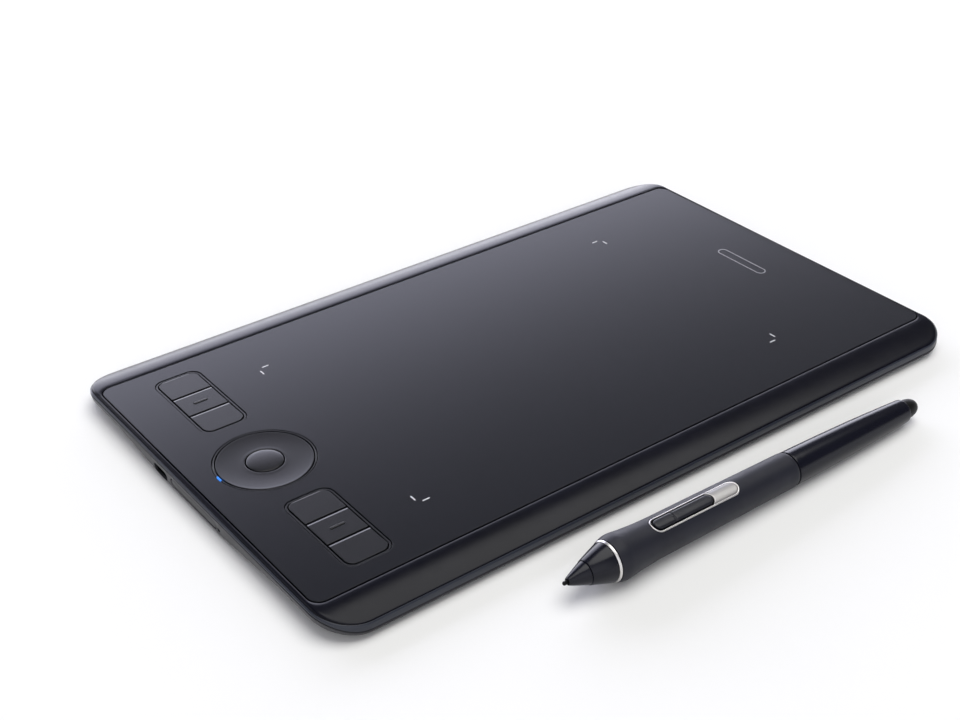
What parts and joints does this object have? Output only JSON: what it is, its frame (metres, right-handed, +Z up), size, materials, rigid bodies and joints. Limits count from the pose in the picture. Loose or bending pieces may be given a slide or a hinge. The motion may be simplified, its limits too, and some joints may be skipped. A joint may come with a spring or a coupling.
{
  "type": "pen drawing tablet",
  "caption": "Thin rectangular pen tablet with press keys in two groups, a touch ring with centre button, side power button and socket, and a separate flared pen lying in front.",
  "frame": {"origin": "on the desk under the middle of the box that holds tablet and pen", "axes": "+X along the tablet's long side, away from the keys; -Y the front edge where the pen lies; +Z up from the desk"},
  "size_m": [0.2694, 0.1998, 0.015],
  "materials": {
    "cover_grey": "satin dark grey",
    "band_grey": "satin grey",
    "frame_black": "satin black",
    "sheet_black": "fine matte texture",
    "dark_plastic": "moulded black",
    "key_black": "satin dark grey",
    "lamp_blue": "lit diffuser",
    "lamp_dark": "unlit diffuser",
    "rubber_black": "matte",
    "board_green": "solder mask",
    "steel": "plain",
    "foil_silver": "foil",
    "battery_wrap": "wrapped pouch",
    "chip_black": "epoxy",
    "copper_wire": "wound wire",
    "grip_rubber": "soft-touch, fine grain",
    "pen_gloss": "semi-gloss",
    "bright_metal": "satin bright"
  },
  "bodies": {
    "tablet": {"bottom_cover": "cover_grey", "side_band": "band_grey", "top_frame": "frame_black", "surface_sheet": "sheet_black", "support_plate": "dark_plastic", "rear_key_surround": "dark_plastic", "front_key_surround": "dark_plastic", "ring_trim": "dark_plastic", "touch_ring": "key_black", "key_dome_1": "steel", "key_dome_2": "steel", "key_dome_3": "steel", "key_dome_4": "steel", "key_dome_5": "steel", "key_dome_6": "steel", "centre_dome": "steel", "usb_socket": "steel", "cover_screw_1": "steel", "cover_screw_2": "steel", "cover_screw_3": "steel", "cover_screw_4": "steel", "mode_light_1": "lamp_dark", "mode_light_2": "lamp_dark", "mode_light_4": "lamp_dark", "status_light": "lamp_dark", "mode_light_3": "lamp_blue", "power_switch": "chip_black", "processor_chip": "chip_black", "main_board": "board_green", "key_board": "board_green", "sensor_board": "board_green", "radio_module": "foil_silver", "shield_plate": "foil_silver", "battery": "battery_wrap", "foot_1": "rubber_black", "foot_2": "rubber_black", "foot_3": "rubber_black", "foot_4": "rubber_black"},
    "key_1_body": {"key_1": "key_black"},
    "key_2_body": {"key_2": "key_black"},
    "key_3_body": {"key_3": "key_black"},
    "key_4_body": {"key_4": "key_black"},
    "key_5_body": {"key_5": "key_black"},
    "key_6_body": {"key_6": "key_black"},
    "centre_button_body": {"centre_button": "key_black"},
    "power_button_body": {"power_button": "cover_grey"},
    "pen": {"pen_tip_cone": "pen_gloss", "pen_cone_collar": "pen_gloss", "pen_ring": "bright_metal", "pen_grip": "grip_rubber", "pen_switch_bezel": "bright_metal", "pen_inner_tube": "dark_plastic", "pen_circuit_board": "board_green", "pen_coil": "copper_wire", "pen_pressure_sensor": "steel", "pen_rear_barrel": "pen_gloss", "pen_eraser_coil": "copper_wire"},
    "nib_body": {"pen_nib": "dark_plastic"},
    "eraser_body": {"pen_eraser": "dark_plastic"},
    "switch_body": {"pen_side_switch": "dark_plastic"}
  },
  "joints": [
    {"name": "key_1_press", "type": "slide", "parent": "tablet", "child": "key_1_body", "axis": [0, 0, -1], "range_m": [0, 0.0004], "stiffness_N_per_m": 800, "springref_m": -0.0002},
    {"name": "key_2_press", "type": "slide", "parent": "tablet", "child": "key_2_body", "axis": [0, 0, -1], "range_m": [0, 0.0004], "stiffness_N_per_m": 800, "springref_m": -0.0002},
    {"name": "key_3_press", "type": "slide", "parent": "tablet", "child": "key_3_body", "axis": [0, 0, -1], "range_m": [0, 0.0004], "stiffness_N_per_m": 800, "springref_m": -0.0002},
    {"name": "key_4_press", "type": "slide", "parent": "tablet", "child": "key_4_body", "axis": [0, 0, -1], "range_m": [0, 0.0004], "stiffness_N_per_m": 800, "springref_m": -0.0002},
    {"name": "key_5_press", "type": "slide", "parent": "tablet", "child": "key_5_body", "axis": [0, 0, -1], "range_m": [0, 0.0004], "stiffness_N_per_m": 800, "springref_m": -0.0002},
    {"name": "key_6_press", "type": "slide", "parent": "tablet", "child": "key_6_body", "axis": [0, 0, -1], "range_m": [0, 0.0004], "stiffness_N_per_m": 800, "springref_m": -0.0002},
    {"name": "centre_button_press", "type": "slide", "parent": "tablet", "child": "centre_button_body", "axis": [0, 0, -1], "range_m": [0, 0.0004], "stiffness_N_per_m": 800, "springref_m": -0.0002},
    {"name": "power_button_press", "type": "slide", "parent": "tablet", "child": "power_button_body", "axis": [1, 0, 0], "range_m": [0, 0.0005], "stiffness_N_per_m": 800, "springref_m": -0.0002},
    {"name": "pen_lift", "type": "slide", "parent": "tablet", "child": "pen", "axis": [0, 0, 1], "range_m": [0, 0.06]},
    {"name": "nib_press", "type": "slide", "parent": "pen", "child": "nib_body", "axis": [0.9997, 0.0101, -0.0204], "range_m": [0, 0.0004], "stiffness_N_per_m": 1000, "springref_m": -0.0001},
    {"name": "eraser_press", "type": "slide", "parent": "pen", "child": "eraser_body", "axis": [-0.9997, -0.0101, 0.0204], "range_m": [0, 0.0008], "stiffness_N_per_m": 1000, "springref_m": -0.0001},
    {"name": "side_switch_rock", "type": "hinge", "parent": "pen", "child": "switch_body", "pos_m": [-0.02405, -0.09349, 0.01251], "axis": [-0.0048, 0.9703, 0.2419], "range_deg": [-2, 2], "stiffness_Nm_per_rad": 0.2}
  ]
}
